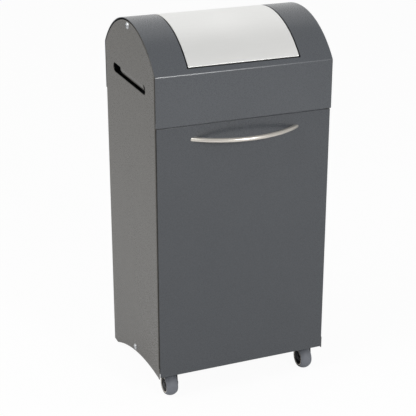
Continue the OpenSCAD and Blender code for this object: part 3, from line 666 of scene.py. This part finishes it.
hinge_edge = 0.25 * mm
magnet_edge = 0.6 * mm
for node_name in ("hinge_bracket_left", "hinge_bracket_right", "hinge_pins"):
    complete(broken_copy(node_name, hinge_edge), "housing", "zinc", zinc, node_name)
complete(broken_copy("magnet_catches", magnet_edge), "housing", "magnet", sintered_ferrite(),
         "magnet_catches")

# Liner: a box of 1 mm galvanised sheet with rounded corners and a rim rolled round a wire. It
# stands on the floor pan between two guides, and lifts by a wire bail on riveted ears.


def galvanised_sheet():
    """Hot-dip galvanised steel: zinc crystals of about 12 mm, each turned its own way, so that
    neighbours reflect a little lighter or darker."""
    spangle_size = 12 * mm
    material, tree, shader, place = new_material("galvanised_sheet", Metallic=0.9)
    spangle = add_node(tree, "ShaderNodeTexVoronoi",
                       {"Vector": place, "Scale": 1 / spangle_size, "Randomness": 1.0})
    shade = add_node(tree, "ShaderNodeSeparateColor", {"Color": spangle.outputs["Color"]})
    tint = add_node(tree, "ShaderNodeMix",
                    {"Factor": shade.outputs["Red"], "A": linear("#a3a9ad"), "B": linear("#bcc1c3")},
                    data_type="RGBA")
    gloss = add_node(tree, "ShaderNodeMapRange",
                     {"Value": shade.outputs["Green"], "To Min": 0.34, "To Max": 0.52})
    tree.links.new(tint.outputs["Result"], shader.inputs["Base Color"])
    tree.links.new(gloss.outputs["Result"], shader.inputs["Roughness"])
    return material


galvanised = galvanised_sheet()
liner_low, liner_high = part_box("liner")
liner_corner = 18 * mm
liner_foot = 2 * mm
liner_sheet = 1 * mm
fitting_edge = 0.2 * mm
tub = start_block("liner_tub", liner_low, liner_high)
pick(tub, "FACE", lambda v: near(v.z, liner_high.z))
bpy.ops.mesh.delete(type="FACE")
for corner in ((x, y) for x in (liner_low.x, liner_high.x) for y in (liner_low.y, liner_high.y)):
    pick(tub, "EDGE", lambda v: near(v.x, corner[0]) and near(v.y, corner[1]))
    bpy.ops.mesh.bevel(offset=liner_corner, segments=8, affect="EDGES")
pick(tub, "EDGE", lambda v: near(v.z, liner_low.z))
bpy.ops.mesh.bevel(offset=liner_foot, segments=3, affect="EDGES")
close_edit()
apply_modifier(tub, "SOLIDIFY", thickness=liner_sheet, offset=-1, use_even_offset=True)
complete(tub, "housing", "galvanised", galvanised, "liner")
for node_name, width in (("liner_rim", 0), ("liner_guides", fitting_edge), ("bail_ears", fitting_edge)):
    complete(broken_copy(node_name, width), "housing", "galvanised", galvanised, node_name)
complete(broken_copy("liner_bail", 0), "bail", "zinc", zinc, "liner_bail")

# Castors: a one-legged bracket of bent, black-coated steel under the floor pan, a riveted axle,
# and a moulded, dished hub with a soft grey tyre that leaves no marks. Both are the same part.


def black_coat():
    """Black cathodic dip coat on steel: thin and even, half gloss, with the metal's own fine
    roughness showing through, drawn coarser than it is."""
    grain_size = 1.5 * mm
    material, tree, shader, place = new_material("black_dip_coat", IOR=1.5)
    shader.inputs["Base Color"].default_value = linear("#202124")
    grain = add_node(tree, "ShaderNodeTexNoise",
                     {"Vector": place, "Scale": 1 / grain_size, "Detail": 3.0})
    gloss = add_node(tree, "ShaderNodeMapRange",
                     {"Value": grain.outputs["Fac"], "To Min": 0.35, "To Max": 0.5})
    tree.links.new(gloss.outputs["Result"], shader.inputs["Roughness"])
    return material


def grey_rubber():
    """Grey thermoplastic rubber: matt and faintly powdery, with a soft bloom that is a shade
    lighter in patches of a few millimetres."""
    bloom_size = 5 * mm
    bloom_depth = 0.1 * mm
    material, tree, shader, place = new_material("grey_rubber", IOR=1.5, Roughness=0.62)
    bloom = add_node(tree, "ShaderNodeTexNoise",
                     {"Vector": place, "Scale": 1 / bloom_size, "Detail": 4.0})
    tint = add_node(tree, "ShaderNodeMix",
                    {"Factor": bloom.outputs["Fac"], "A": linear("#686b72"), "B": linear("#73767c")},
                    data_type="RGBA")
    bump = add_node(tree, "ShaderNodeBump",
                    {"Height": bloom.outputs["Fac"], "Strength": 0.2, "Distance": bloom_depth})
    tree.links.new(tint.outputs["Result"], shader.inputs["Base Color"])
    tree.links.new(bump.outputs["Normal"], shader.inputs["Normal"])
    return material


tyre_low, tyre_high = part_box("wheel_tyre_left")
hub_low, hub_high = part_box("wheel_hub_left")
wheel_centre = (tyre_low + tyre_high) / 2
wheel_radius = tyre_high.z - wheel_centre.z
hub_radius = (hub_high.z - hub_low.z) / 2
hub_ring = 2.4 * mm
hub_dish = 6 * mm
hub_edge = 0.4 * mm
boss_radius = 8 * mm
boss_step = 2.3 * mm
axle_radius = 3 * mm
axle_fit = 0.05 * mm
crown_radius = 18 * mm
crown_cuts = 11
tyre_edge = 0.9 * mm
bracket_edge = 0.3 * mm
rivet_edge = 0.4 * mm


def hub_plastic_with_painted_highlight():
    """Dark grey moulded polypropylene. The narrow ring that stands out beside the tyre is drawn
    pale as a painted highlight, with an edge to it that is a little soft."""
    ring_softness = 0.1
    dark_code = "#2b2c2e"
    material = moulded_plastic("polypropylene_dark_grey", dark_code, grain_size=0.9 * mm, roughness=0.5)
    tree = material.node_tree
    from_axis = add_node(tree, "ShaderNodeMapping",
                         {"Vector": tree.nodes["Texture Coordinate"].outputs["Object"],
                          "Scale": (0, 1, 1), "Location": (0, -wheel_centre.y, -wheel_centre.z)})
    radius_out = add_node(tree, "ShaderNodeVectorMath", {0: from_axis.outputs["Vector"]},
                          operation="LENGTH")
    # The pale ring is a painted highlight where the hub's rim catches the light.
    painted_highlight_ring = add_node(tree, "ShaderNodeMapRange",
                      {"Value": radius_out.outputs["Value"],
                       "From Min": hub_radius - (1 + ring_softness) * hub_ring,
                       "From Max": hub_radius - (1 - ring_softness) * hub_ring})
    tint = add_node(tree, "ShaderNodeMix",
                    {"Factor": painted_highlight_ring.outputs["Result"],
                     "A": linear(dark_code), "B": linear("#cfc9bd")}, data_type="RGBA")
    tree.links.new(tint.outputs["Result"], tree.nodes["Principled BSDF"].inputs["Base Color"])
    return material


bracket_coat = black_coat()
tyre_rubber = grey_rubber()
hub_plastic = hub_plastic_with_painted_highlight()

# The tyre is its cross-section, with a round crown, spun about the axle.
section_z = wheel_centre.z + (wheel_radius + hub_radius) / 2
tyre = start(bpy.ops.mesh.primitive_plane_add, "tyre_left_moulded", size=1,
             rotation=(math.pi / 2, 0, 0), location=(wheel_centre.x, wheel_centre.y, section_z),
             scale=(tyre_high.x - tyre_low.x, wheel_radius - hub_radius, 1))
pick(tyre, "FACE", lambda v: True)
bpy.ops.mesh.delete(type="ONLY_FACE")
pick(tyre, "EDGE", lambda v: near(v.z, tyre_high.z))
bpy.ops.mesh.subdivide(number_cuts=crown_cuts)
close_edit()
for v in tyre.data.vertices:
    if near(v.co.z, tyre_high.z):
        v.co.z += math.sqrt(crown_radius ** 2 - (v.co.x - wheel_centre.x) ** 2) - crown_radius
tread_z = wheel_centre.z + hub_radius + tyre_edge
pick(tyre, "VERT", lambda v: v.z > tread_z and (near(v.x, tyre_low.x) or near(v.x, tyre_high.x)))
bpy.ops.mesh.bevel(offset=tyre_edge, segments=4, affect="VERTICES")
bpy.ops.mesh.select_all(action="SELECT")
bpy.ops.mesh.spin(steps=96, angle=2 * math.pi, center=wheel_centre, axis=(1, 0, 0))
bpy.ops.mesh.select_all(action="SELECT")
bpy.ops.mesh.remove_doubles(threshold=seam_distance)
bpy.ops.mesh.normals_make_consistent(inside=False)
close_edit()

# The hub's free face has a sunk boss, and its face beside the bracket a flush one.
hub = start_bar("hub_left_moulded", hub_low.x, hub_high.x, hub_radius, wheel_centre.y,
                wheel_centre.z, vertices=96)
for face_x, away, step in ((hub_low.x, -1, boss_step), (hub_high.x, 1, 0)):
    pick(hub, "FACE", lambda v: near(v.x, face_x))
    bpy.ops.mesh.inset(thickness=hub_ring)
    bpy.ops.mesh.extrude_region_move(TRANSFORM_OT_translate=move(x=-away * hub_dish))
    ratio = (hub_radius - 2 * hub_ring) / (hub_radius - hub_ring)
    bpy.ops.transform.resize(value=(1, ratio, ratio),
                             center_override=(face_x, wheel_centre.y, wheel_centre.z))
    bpy.ops.mesh.inset(thickness=hub_radius - 2 * hub_ring - boss_radius)
    bpy.ops.mesh.extrude_region_move(TRANSFORM_OT_translate=move(x=away * (hub_dish - step)))
close_edit()
cut_away(hub, start_bar("axle_cutter", hub_low.x - cutter_spare, hub_high.x + cutter_spare,
                        axle_radius + axle_fit, wheel_centre.y, wheel_centre.z))
break_edges(hub, hub_edge, angle=25)

# The right wheel is the left one moved across, since both castors are the same bought part.
across = Matrix.Translation((-2 * wheel_centre.x, 0, 0))
hub_right = copied(hub, "hub_right_moulded", across)
tyre_right = copied(tyre, "tyre_right_moulded", across)
for side, hub_piece, tyre_piece in (("left", hub, tyre), ("right", hub_right, tyre_right)):
    complete(hub_piece, "wheel_" + side, "hub_plastic", hub_plastic, "wheel_hub_" + side)
    complete(tyre_piece, "wheel_" + side, "tyre", tyre_rubber, "wheel_tyre_" + side)
    for part, width in (("castor_bracket_", bracket_edge), ("castor_axle_", rivet_edge)):
        complete(broken_copy(part + side, width), "housing", "castor_black", bracket_coat, part + side)
complete(broken_copy("castor_screws", rivet_edge), "housing", "zinc", zinc, "castor_screws")

# Studio: a pale floor in an even white room, a broad soft lamp at the upper left, a small one in
# front at the right, and the camera where the photograph was taken from.
camera_at = Vector((-910.2, -2201.7, 1326.0)) * mm
camera_yaw = math.radians(21.91)
camera_pitch = math.radians(21.26)
picture_pixels = 416
focal_pixels = 1189.0
shift_pixels = 15.2
sensor_width = 36
camera_data = bpy.data.cameras.new("camera")
camera_data.lens = focal_pixels * sensor_width / picture_pixels
camera_data.sensor_width = sensor_width
camera_data.shift_y = -shift_pixels / picture_pixels
camera = bpy.data.objects.new("camera", camera_data)
camera.location = camera_at
camera.rotation_euler = (math.pi / 2 - camera_pitch, 0, -camera_yaw)
bpy.context.scene.collection.objects.link(camera)
bpy.context.scene.camera = camera

# The camera sees the floor mostly as a plain white glow, with the bin's shadow in the rest.
floor_size = 30
floor_drop = 0.5 * mm
floor_glow = 0.95
floor = start(bpy.ops.mesh.primitive_plane_add, "floor", size=floor_size, location=(0, 0, -floor_drop))
floor_material = bpy.data.materials.new("studio_floor")
floor_material.use_nodes = True
floor_tree = floor_material.node_tree
floor_shader = floor_tree.nodes["Principled BSDF"]
floor_shader.inputs["Base Color"].default_value = linear("#f2f2f2")
floor_shader.inputs["Roughness"].default_value = 0.9
seen = add_node(floor_tree, "ShaderNodeLightPath", {})
glow = add_node(floor_tree, "ShaderNodeEmission", {"Color": (1, 1, 1, 1), "Strength": 1.0})
share = add_node(floor_tree, "ShaderNodeMath", {0: seen.outputs["Is Camera Ray"], 1: floor_glow},
                 operation="MULTIPLY")
floor_mix = add_node(floor_tree, "ShaderNodeMixShader",
                     {0: share.outputs[0], 1: floor_shader.outputs[0], 2: glow.outputs[0]})
floor_tree.links.new(floor_mix.outputs[0], floor_tree.nodes["Material Output"].inputs["Surface"])
floor.data.materials.append(floor_material)

# Metal mirrors a white sweep behind and below the bin, and a greyer room over and before it,
# with a soft, sloping edge between the two. The camera sees plain white.
sweep_slope = 0.387
sweep_blur = 0.03
room_level = 0.5
fill_level = 0.45
world = bpy.data.worlds.new("white_room")
bpy.context.scene.world = world
world.use_nodes = True
room = world.node_tree
room.nodes.clear()
ray = add_node(room, "ShaderNodeLightPath", {})
heading = add_node(room, "ShaderNodeTexCoord", {}).outputs["Generated"]
sweep = add_node(room, "ShaderNodeVectorMath", {0: heading, 1: (0, 1, -sweep_slope)},
                 operation="DOT_PRODUCT")
mirrored_room = add_node(room, "ShaderNodeMapRange",
                         {"Value": sweep.outputs["Value"], "From Min": -sweep_blur,
                          "From Max": sweep_blur, "To Min": room_level, "To Max": 1.0})
level = add_node(room, "ShaderNodeMix", {"Factor": ray.outputs["Is Glossy Ray"], "A": fill_level,
                                         "B": mirrored_room.outputs["Result"]})
seen_rays = add_node(room, "ShaderNodeMath",
                     {0: ray.outputs["Is Camera Ray"], 1: ray.outputs["Is Transmission Ray"]},
                     operation="ADD", use_clamp=True)
fill = add_node(room, "ShaderNodeBackground",
                {"Color": (1, 1, 1, 1), "Strength": level.outputs["Result"]})
white = add_node(room, "ShaderNodeBackground", {"Color": (1, 1, 1, 1), "Strength": 1.0})
room_mix = add_node(room, "ShaderNodeMixShader",
                    {0: seen_rays.outputs[0], 1: fill.outputs[0], 2: white.outputs[0]})
add_node(room, "ShaderNodeOutputWorld", {"Surface": room_mix.outputs[0]})


def soft_lamp(name, place, aim, size, power):
    """A square softbox that faces a point."""
    lamp = bpy.data.lights.new(name, "AREA")
    lamp.size = size
    lamp.energy = power
    holder = bpy.data.objects.new(name, lamp)
    holder.location = place
    holder.rotation_euler = (Vector(aim) - Vector(place)).to_track_quat("-Z", "Y").to_euler()
    bpy.context.scene.collection.objects.link(holder)


soft_lamp("key_softbox", place=(-2.3, -0.5, 2.5), aim=(0, 0, 0.4), size=1.6, power=46)
soft_lamp("front_softbox", place=(0.76, -2.8, 1.75), aim=(0, 0, 0.5), size=0.5, power=40)
bpy.context.scene.view_settings.view_transform = "Standard"
